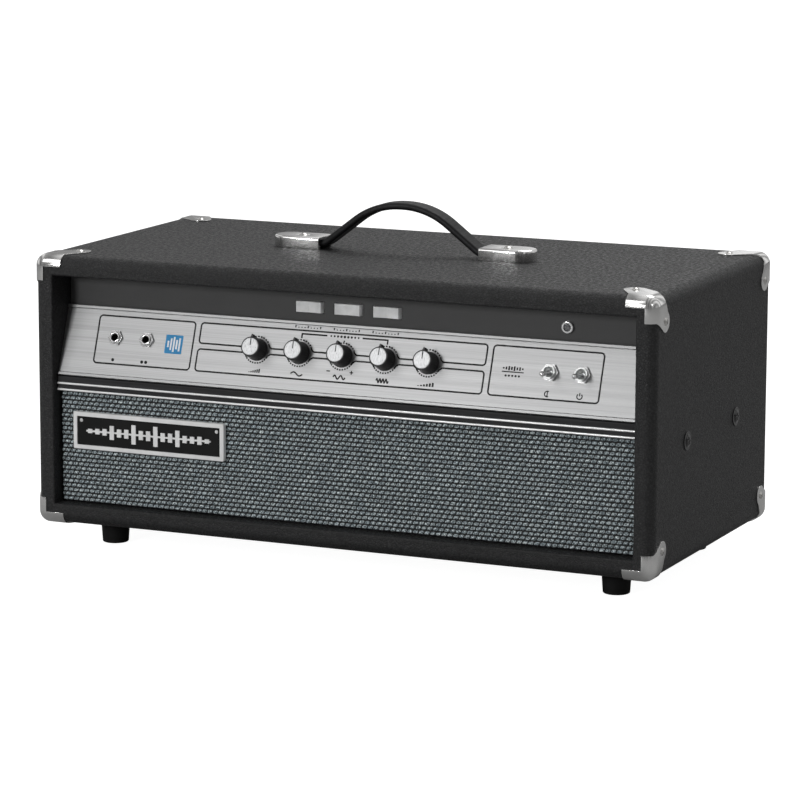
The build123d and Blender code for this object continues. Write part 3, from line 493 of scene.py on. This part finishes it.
def weave():
    """The grille cloth: bundles of yarn that pass over each other in a brick pattern, stretched flat."""
    low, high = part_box("grille_cloth")
    across, up = 5.6 * MM, 4.15 * MM
    per_bundle, per_row = 10, 8
    relief, lean, slip = 1.3 * MM, 0.16, 0.05
    columns = round((high.x - low.x) / across) * per_bundle
    rows = round((high.z - low.z) / up) * per_row
    x = np.linspace(low.x, high.x, columns + 1)
    z = np.linspace(low.z, high.z, rows + 1)
    grid_x, grid_z = np.meshgrid(x, z)
    random = np.random.default_rng(7)

    row = np.floor((grid_z - low.z) / up)
    slide = random.uniform(-slip, slip, int(row.max()) + 1)
    shift = 0.5 * (row % 2) + slide[row.astype(int)]
    t = 2 * ((grid_z - low.z) / up - row) - 1
    place = (grid_x - low.x) / across + shift - lean * t
    bundle = np.floor(place)
    s = 2 * (place - bundle) - 1
    # A fixed scramble of column and row, 0 to 1, so that no two bundles are equally high
    uneven = np.sin(bundle * 12.9898 + row * 78.233) * 43758.5453
    uneven = uneven - np.floor(uneven)

    crown = 0.12 + 0.88 * np.clip(1 - np.abs(s * 1.06) ** 2.8, 0, 1) ** 0.6
    sag = t + 0.3 * (1 - t * t)
    belly = np.clip(1 - np.abs(sag * (1.09 + 0.12 * s * s)) ** 2.2, 0, 1) ** 0.6
    threads = 0.07 * np.cos(math.pi * (3.0 * t + 0.5 * s)) * crown
    height = crown * belly * (0.85 + 0.15 * uneven) + threads * belly
    y = low.y + relief - height * relief
    verts = np.stack([grid_x, y, grid_z], -1).reshape(-1, 3)

    width = columns + 1
    corner = (np.arange(rows)[:, None] * width + np.arange(columns)[None, :]).reshape(-1)
    faces = np.stack([corner, corner + 1, corner + width + 1, corner + width], -1)
    mesh = bpy.data.meshes.new("grille_weave")
    mesh.from_pydata(verts.tolist(), [], faces.tolist())
    mesh.shade_smooth()
    cloth = add_piece("grille_weave", mesh, "root", MATERIALS["grille_cloth"])
    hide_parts("grille_cloth")


# ------------------------------------------------------------------ printing

def arc(u, v, radius, start, end, steps=8):
    """Points of an arc; angles in degrees from the panel's right, turning left."""
    angles = [math.radians(start + (end - start) * i / steps) for i in range(steps + 1)]
    return [(u + radius * math.cos(a), v + radius * math.sin(a)) for a in angles]


def rounded_box(u0, u1, v0, v1, radius):
    """The outline of a box with round corners, starting at its lower right corner."""
    points = arc(u1 - radius, v0 + radius, radius, -90, 0)
    points += arc(u1 - radius, v1 - radius, radius, 0, 90)
    points += arc(u0 + radius, v1 - radius, radius, 90, 180)
    points += arc(u0 + radius, v0 + radius, radius, 180, 270)
    return points


class Print:
    """Thin raised strips and patches of ink on the panel."""

    def __init__(self, width=None):
        self.bm = bmesh.new()
        self.width = width

    def line(self, points, closed=False, width=None):
        """A strip along (u, v) points, with mitred corners."""
        half = (width or self.width) / 2
        count = len(points)
        loops = []
        for i, (u, v) in enumerate(points):
            before = points[i - 1] if i or closed else points[i]
            after = points[(i + 1) % count] if i < count - 1 or closed else points[i]
            run_in = Vector((u - before[0], v - before[1]))
            run_out = Vector((after[0] - u, after[1] - v))
            run_in = run_in.normalized() if run_in.length else run_out.normalized()
            run_out = run_out.normalized() if run_out.length else run_in
            side = Vector((-run_in.y - run_out.y, run_in.x + run_out.x)).normalized()
            reach = half / max(0.5, side.dot(Vector((-run_in.y, run_in.x))))
            left = (u + side.x * reach, v + side.y * reach)
            right = (u - side.x * reach, v - side.y * reach)
            corners = [(*left, 0), (*right, 0), (*right, INK), (*left, INK)]
            loops.append([self.bm.verts.new(on_panel(*c)) for c in corners])
        last = count if closed else count - 1
        for i in range(last):
            a, b = loops[i], loops[(i + 1) % count]
            for k in range(4):
                self.bm.faces.new((a[k], a[(k + 1) % 4], b[(k + 1) % 4], b[k]))
        if not closed:
            self.bm.faces.new(loops[0][::-1])
            self.bm.faces.new(loops[-1])

    def patch(self, outline, base=0.0):
        """A filled outline."""
        low = [self.bm.verts.new(on_panel(u, v, base)) for u, v in outline]
        high = [self.bm.verts.new(on_panel(u, v, base + INK)) for u, v in outline]
        self.bm.faces.new(low[::-1])
        self.bm.faces.new(high)
        for i in range(len(outline)):
            j = (i + 1) % len(outline)
            self.bm.faces.new((low[i], low[j], high[j], high[i]))

    def rectangle(self, u, v, width, height, base=0.0):
        half_w, half_h = width / 2, height / 2
        corners = [(u - half_w, v - half_h), (u + half_w, v - half_h), (u + half_w, v + half_h)]
        self.patch(corners + [(u - half_w, v + half_h)], base)

    def dot(self, u, v, radius):
        sides = 14
        self.patch(arc(u, v, radius, 0, 360 - 360 / sides, sides - 1))

    def piece(self, name, material, slot):
        bmesh.ops.recalc_face_normals(self.bm, faces=self.bm.faces)
        mesh = bpy.data.meshes.new(name)
        self.bm.to_mesh(mesh)
        self.bm.free()
        add_piece(name, mesh, "root", material)


def wave(u, v, width, height, cycles):
    """Points of a sine wave centred on (u, v)."""
    steps = 10 * cycles
    return [
        (u + width * (i / steps - 0.5), v + height / 2 * math.sin(2 * math.pi * cycles * i / steps))
        for i in range(steps + 1)
    ]


# Printed outlines on the panel: u from its middle, v from the line through the knobs
BOX_LOW, BOX_HIGH = -23.9 * MM, 21.1 * MM
INPUT_BOX = (-252.6 * MM, -153.0 * MM)
KNOB_BOX = (-147.0 * MM, 138.0 * MM)
SWITCH_BOX = (144.0 * MM, 249.0 * MM)
LANE_HIGH, LANE_LOW = 2.0 * MM, -3.4 * MM
RING_R = 12.3 * MM
JOIN_R = RING_R * 1.12      # where a lane's straight run ends beside a knob
LABEL_V = -19.3 * MM


def knob_rings(ink_lines):
    """The two middle boxes, whose facing lines part round each knob in a dashed ring."""
    (left, right), corner = KNOB_BOX, 3.0 * MM
    bend_turn, dashes, dash_share = 13, 9, 0.62
    for lane, edge, sign in ((LANE_HIGH, BOX_HIGH, 1), (LANE_LOW, BOX_LOW, -1)):
        meet = math.degrees(math.asin(abs(lane) / RING_R)) + 9.0
        path = [(KNOB_X[-1] + JOIN_R, lane)]
        path += [(u, lane + sign * (corner - v)) for u, v in arc(right - corner, 0, corner, 90, 0)]
        path += [(u, edge - sign * (corner - v)) for u, v in arc(right - corner, 0, corner, 0, 90)]
        path += [(u, edge - sign * (corner - v)) for u, v in arc(left + corner, 0, corner, 90, 180)]
        path += [(u, lane + sign * (corner - v)) for u, v in arc(left + corner, 0, corner, 180, 90)]
        path.append((KNOB_X[0] - JOIN_R, lane))
        ink_lines.line(path)
        for a, b in zip(KNOB_X, KNOB_X[1:]):
            ink_lines.line([(a + JOIN_R, lane), (b - JOIN_R, lane)])
        for u in KNOB_X:
            for side in (1, -1):
                bend = arc(u, 0, RING_R, meet, meet + bend_turn, 4)
                bend = [(u + side * (pu - u), sign * pv) for pu, pv in bend]
                ink_lines.line([(u + side * JOIN_R, lane)] + bend)
            span = (180 - 2 * meet - 2 * bend_turn) / dashes
            for i in range(dashes):
                begin = meet + bend_turn + span * (i + 0.3)
                dash = arc(u, 0, RING_R, begin, begin + span * dash_share, 3)
                ink_lines.line([(pu, sign * pv) for pu, pv in dash])


def knob_icons(marks):
    """Plain signs under the knobs: wedges for level, waves for tone."""
    for u, cycles in zip(KNOB_X[1:4], (1, 2, 4)):
        marks.line(wave(u, LABEL_V, 12.0 * MM, 3.4 * MM, cycles))
    for u, width in ((KNOB_X[0], 10.0 * MM), (KNOB_X[4], 14.0 * MM)):
        bars = 6
        for i in range(bars):
            bar_u = u + width * (i / (bars - 1) - 0.5)
            height = 3.8 * MM * (i + 1) / bars
            marks.rectangle(bar_u, LABEL_V - 1.9 * MM + height / 2, 0.8 * width / bars, height)
    # Minus and plus; the plus's upright is two strokes, one above its bar and one below
    aside, sign_v, stroke, stem = 11.5 * MM, -14.2 * MM, 1.0 * MM, 1.3 * MM
    for u in (KNOB_X[2] - aside, KNOB_X[2] + aside):
        marks.rectangle(u, sign_v, 3.6 * MM, stroke)
    for v in (sign_v + (stroke + stem) / 2, sign_v - (stroke + stem) / 2):
        marks.rectangle(KNOB_X[2] + aside, v, stroke, stem)


def tone_bracket(ink_lines, marks):
    """The bracket over the three tone knobs, open at its middle round a row of dots."""
    v, drop, gap = 17.9 * MM, 4.0 * MM, 17.5 * MM
    left, middle, right = KNOB_X[1:4]
    ink_lines.line([(left, v - drop), (left, v), (middle - gap, v)])
    ink_lines.line([(middle + gap, v), (right, v), (right, v - drop)])
    for i in range(-4, 5):
        marks.dot(middle + i * 3.4 * MM, v, (1.3 - 0.1 * abs(i)) * MM)
    marks.dot(middle, v - drop, 0.8 * MM)


def switch_marks(marks):
    """A row of small graduations under the three rockers."""
    foot_v, step, stroke = 23.3 * MM, 3.1 * MM, 1.2 * MM
    for u in ROCKER_X:
        for i in range(-4, 5):
            tall = 2.2 * MM if i % 4 == 0 else 0.9 * MM
            marks.rectangle(u + i * step, foot_v + tall / 2, stroke, tall)


def input_labels(marks):
    """One dot under the first input, two under the second."""
    for count, u in enumerate(JACK_X, start=1):
        for i in range(count):
            marks.dot(u + (i - (count - 1) / 2) * 4.2 * MM, -20.0 * MM, 1.55 * MM)


def power_labels(marks):
    """The usual signs for standby and for power, and a plain meter sign beside the switches."""
    v, sign_r, stroke = -19.0 * MM, 2.5 * MM, 1.0 * MM
    standby, power = TOGGLE_X
    marks.line(arc(standby, v, sign_r, 60, 300, 14), width=stroke)
    marks.line([(standby, v + 2.1 * MM), (standby, v - 2.1 * MM)], width=stroke)
    marks.line(arc(power, v, sign_r, 130, 410, 16), width=stroke)
    marks.line([(power, v + 3.3 * MM), (power, v + 0.3 * MM)], width=stroke)
    meter_u = 165.0 * MM
    for i, height in enumerate((1.4, 2.6, 3.8, 3.0, 4.2, 2.4, 3.2, 1.6)):
        marks.rectangle(meter_u + (i - 3.5) * 2.6 * MM, 1.3 * MM, 1.5 * MM, height * MM)
    marks.rectangle(meter_u, -1.9 * MM, 21.0 * MM, 1.0 * MM)
    for i in range(5):
        marks.dot(meter_u + (i - 2) * 3.2 * MM, -5.4 * MM, 1.0 * MM)


def printed_panel():
    """Everything printed on the panel, and the badge with its plain bars."""
    lines = Print(1.5 * MM)
    corner = 3.2 * MM
    for box in (INPUT_BOX, SWITCH_BOX):
        lines.line(rounded_box(*box, BOX_LOW, BOX_HIGH, corner), closed=True)
    knob_rings(lines)
    marks = Print(1.35 * MM)
    tone_bracket(lines, marks)
    knob_icons(marks)
    switch_marks(marks)
    input_labels(marks)
    power_labels(marks)
    lines.piece("panel_lines", BLACK_INK, "plate_black")
    marks.piece("panel_signs", BLACK_INK, "plate_black")

    badge_u, badge_v, size = -172.4 * MM, -1.2 * MM, 17.6 * MM
    half = size / 2
    field = Print()
    field.patch(rounded_box(badge_u - half, badge_u + half, badge_v - half, badge_v + half, 0.9 * MM))
    field.piece("panel_badge_field", BLUE_INK, "capacitor")
    bars = Print()
    for i, share in enumerate((0.34, 0.62, 0.8, 0.5, 0.7)):
        bars.rectangle(badge_u + (i - 2) * 2.9 * MM, badge_v, 1.7 * MM, size * share, INK)
    bars.piece("panel_badge_bars", WHITE_INK, "rocker_grey")


# ------------------------------------------------------------------ pieces with rolled and softened edges

def softened(name, node, slot):
    """A copy of a CAD node of the root body with its sharp edges rolled over, which stands in for it."""
    bm = bmesh.new()
    bm.from_mesh(NODES[node].data)
    bmesh.ops.remove_doubles(bm, verts=bm.verts, dist=0.002 * MM)
    bmesh.ops.dissolve_limit(bm, angle_limit=math.radians(0.6), verts=bm.verts, edges=bm.edges)
    mesh = bpy.data.meshes.new(name)
    bm.to_mesh(mesh)
    bm.free()
    piece = add_piece(name, mesh, "root", MATERIALS[slot])
    bevel = piece.modifiers.new("rolled_edges", "BEVEL")
    bevel.width = 0.5 * MM
    bevel.segments = 3
    bevel.limit_method = "ANGLE"
    bevel.angle_limit = math.radians(35)
    bevel.use_clamp_overlap = True
    shape = piece.evaluated_get(bpy.context.evaluated_depsgraph_get())
    rolled = bpy.data.meshes.new_from_object(shape)
    piece.modifiers.clear()
    piece.data = rolled
    shade_smooth(rolled, 40)
    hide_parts(node)


def knob_lines():
    """The black line let into each knob's cap, from near its middle to its rim."""
    half_width, inner, outer, thickness, sunk = 0.6, 0.6, 7.7, 0.1, 0.16
    for name in KNOBS:
        joint = JOINTS[name + "_turn"]
        axis_point = Vector(joint["pos_m"])
        cap = NODES["knob_cap_" + name].data.vertices
        top = max((v.co - axis_point).dot(PANEL_OUT) for v in cap)
        centre = axis_point + PANEL_OUT * (top - sunk * MM)
        bm = bmesh.new()
        corners = []
        for side, reach in ((-1, inner), (1, inner), (1, outer), (-1, outer)):
            corners.append(centre + Vector((side * half_width * MM, 0, 0)) + PANEL_UP * reach * MM)
        low_ring = [bm.verts.new(c) for c in corners]
        high_ring = [bm.verts.new(c + PANEL_OUT * thickness * MM) for c in corners]
        bm.faces.new(low_ring[::-1])
        bm.faces.new(high_ring)
        for i in range(4):
            j = (i + 1) % 4
            bm.faces.new((low_ring[i], low_ring[j], high_ring[j], high_ring[i]))
        bmesh.ops.recalc_face_normals(bm, faces=bm.faces)
        mesh = bpy.data.meshes.new("knob_line_" + name)
        bm.to_mesh(mesh)
        bm.free()
        add_piece("knob_line_" + name, mesh, joint["child"], BLACK_INK)


def jack_collars():
    """A bright turned collar in the mouth of every jack, its section in (radius, height) millimetres."""
    mouths = {name: mount for name, mount in MOUNTS.items() if "_jack_" in name}
    for name, mount in mouths.items():
        front = name.startswith("input")
        out = PANEL_OUT if front else Vector((0, 1, 0))
        node = NODES["input_jacks" if front else "rear_jacks"]
        point = Vector(mount["pos_m"])
        face = max((v.co - point).dot(out) for v in node.data.vertices)
        section = [(3.35, -3.0), (4.74, -0.05), (4.9, 0.35), (4.3, 0.75), (3.75, 0.6), (3.4, 0.1)]
        ring = lathe(section, point + out * face, out)
        add_piece(name + "_collar", ring, "root", MATERIALS["chrome_fittings"], 50)


def lathe(section, centre, axis, steps=40):
    """A ring turned from a closed (radius, height) outline in millimetres."""
    side = axis.orthogonal().normalized()
    other = axis.cross(side)
    count = len(section)
    verts = []
    for i in range(steps):
        angle = 2 * math.pi * i / steps
        spoke = side * math.cos(angle) + other * math.sin(angle)
        verts += [centre + spoke * r * MM + axis * h * MM for r, h in section]
    faces = []
    for i in range(steps):
        a, b = i * count, (i + 1) % steps * count
        for k in range(count):
            n = (k + 1) % count
            faces.append((a + k, a + n, b + n, b + k))
    mesh = bpy.data.meshes.new("ring")
    mesh.from_pydata([tuple(v) for v in verts], [], faces)
    bm = bmesh.new()
    bm.from_mesh(mesh)
    bmesh.ops.recalc_face_normals(bm, faces=bm.faces)
    bm.to_mesh(mesh)
    bm.free()
    return mesh


# ------------------------------------------------------------------ studio

def studio():
    """White paper floor, soft light and the camera."""
    reach = 80.0
    mesh = bpy.data.meshes.new("floor")
    corners = [(-reach, -reach, 0), (reach, -reach, 0), (reach, reach, 0), (-reach, reach, 0)]
    mesh.from_pydata(corners, [], [(0, 1, 2, 3)])
    floor = bpy.data.objects.new("floor", mesh)
    bpy.context.scene.collection.objects.link(floor)
    mesh.materials.append(floor_finish())

    # Reflections see a room that is brighter behind the object than before it, with broad dark flags across it
    world = bpy.data.worlds.new("studio")
    bpy.context.scene.world = world
    world.use_nodes = True
    tree = world.node_tree
    background = tree.nodes["Background"]
    background.inputs["Color"].default_value = (1.0, 1.0, 1.0, 1.0)
    direction = add(tree, "TexCoord").outputs["Generated"]
    parts = add(tree, "SeparateXYZ", {"Vector": direction})
    depth = add(tree, "MapRange", {
        "Value": parts.outputs["Y"], "From Min": -0.8, "From Max": 0.3, "To Min": 0.2, "To Max": 0.75,
    }).outputs["Result"]
    flags = add(tree, "TexWave", {"Vector": direction, "Scale": 0.9, "Phase Offset": 2.2},
                bands_direction="X").outputs["Fac"]
    shade = add(tree, "MapRange", {"Value": flags, "To Min": 0.35, "To Max": 1.25}).outputs["Result"]
    dark_flags = add(tree, "Math", operation="MULTIPLY")
    tree.links.new(depth, dark_flags.inputs[0])
    tree.links.new(shade, dark_flags.inputs[1])
    seen = add(tree, "LightPath").outputs["Is Camera Ray"]
    level = add(tree, "Mix", data_type="FLOAT")
    tree.links.new(seen, level.inputs[0])
    tree.links.new(dark_flags.outputs["Value"], level.inputs[2])
    level.inputs[3].default_value = 1.05
    tree.links.new(level.outputs[0], background.inputs["Strength"])

    centre = (cad_low + cad_high) / 2
    lights = [      # name, place, side in metres, watts
        ("key", (-1.5, -2.2, 2.3), 1.5, 14.0),
        ("front", (-1.0, -3.0, 0.95), 0.6, 33.0),
        ("side", (2.4, -1.9, 1.6), 0.7, 3.0),
        ("top", (0.2, 1.3, 2.6), 1.3, 26.0),
    ]
    for name, place, size, power in lights:
        data = bpy.data.lights.new(name, "AREA")
        data.shape = "SQUARE"
        data.size = size
        data.energy = power
        light = bpy.data.objects.new(name, data)
        bpy.context.scene.collection.objects.link(light)
        light.location = place
        light.rotation_mode = "QUATERNION"
        light.rotation_quaternion = (centre - Vector(place)).to_track_quat("-Z", "Y")

    data = bpy.data.cameras.new("camera")
    camera = bpy.data.objects.new("camera", data)
    bpy.context.scene.collection.objects.link(camera)
    yaw, pitch, roll = (math.radians(a) for a in (-24.134, -10.348, 0.176))
    look = Vector((math.sin(yaw) * math.cos(pitch), math.cos(yaw) * math.cos(pitch), math.sin(pitch)))
    right = look.cross(Vector((0, 0, 1))).normalized()
    up = right.cross(look)
    turned_right = right * math.cos(roll) + up * math.sin(roll)
    turned_up = up * math.cos(roll) - right * math.sin(roll)
    camera.matrix_world = Matrix((turned_right, turned_up, -look)).transposed().to_4x4()
    camera.location = (1.4223, -3.1837, 0.7750)
    data.sensor_width = 36.0
    data.lens = 170.41
    data.clip_start = 0.1
    data.clip_end = 300.0
    bpy.context.scene.camera = camera
    bpy.context.scene.view_settings.view_transform = "Standard"


finish_cad_nodes()
weave()
printed_panel()
softened("corner_guards_rolled", "corner_guards", "nickel_corner")
softened("handle_end_caps_rolled", "handle_end_caps", "nickel_corner")
knob_lines()
jack_collars()
studio()
